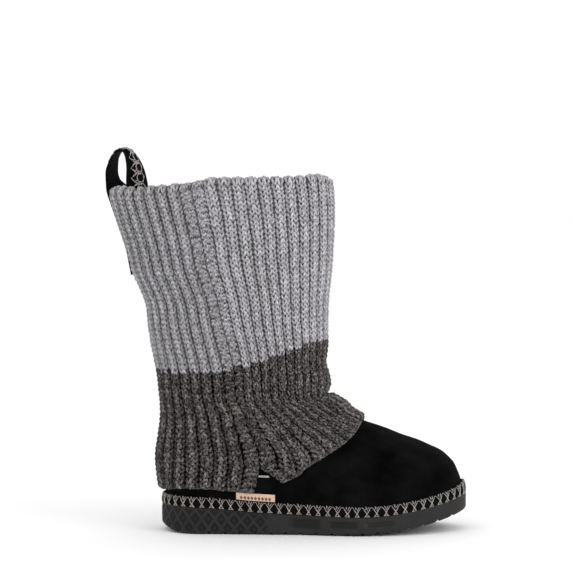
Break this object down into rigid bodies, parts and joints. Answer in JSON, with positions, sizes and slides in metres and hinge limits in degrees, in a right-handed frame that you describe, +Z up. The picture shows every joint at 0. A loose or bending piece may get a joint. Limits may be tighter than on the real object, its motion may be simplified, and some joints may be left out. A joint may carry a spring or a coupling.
{
  "type": "suede boot",
  "caption": "Right slipper boot with a suede foot, a tall rib-knit leg in two sewn panels, a moulded rubber sole, a braided rim and a pull loop at the back of the collar.",
  "frame": {"origin": "on the floor under the middle of the heel seat, on the tread", "axes": "+X from heel to toe, -Y to the outer side of the foot, +Z up"},
  "size_m": [0.3255, 0.1008, 0.3442],
  "materials": {
    "sole_rubber": "matt moulded rubber",
    "footbed_pile": "short pile",
    "black_suede": "suede nap",
    "braid": "black tape with grey thread",
    "heather_knit": "ribbed heather knit, light above and charcoal below",
    "webbing": "black webbing",
    "tag_leather": "pale smooth leather"
  },
  "bodies": {
    "root": {"outsole": "sole_rubber", "insole": "footbed_pile", "upper": "black_suede", "sole_braid": "braid", "knit_front": "heather_knit", "knit_back": "heather_knit", "pull_loop": "webbing", "loop_tape": "braid", "side_tag": "tag_leather"}
  },
  "joints": []
}
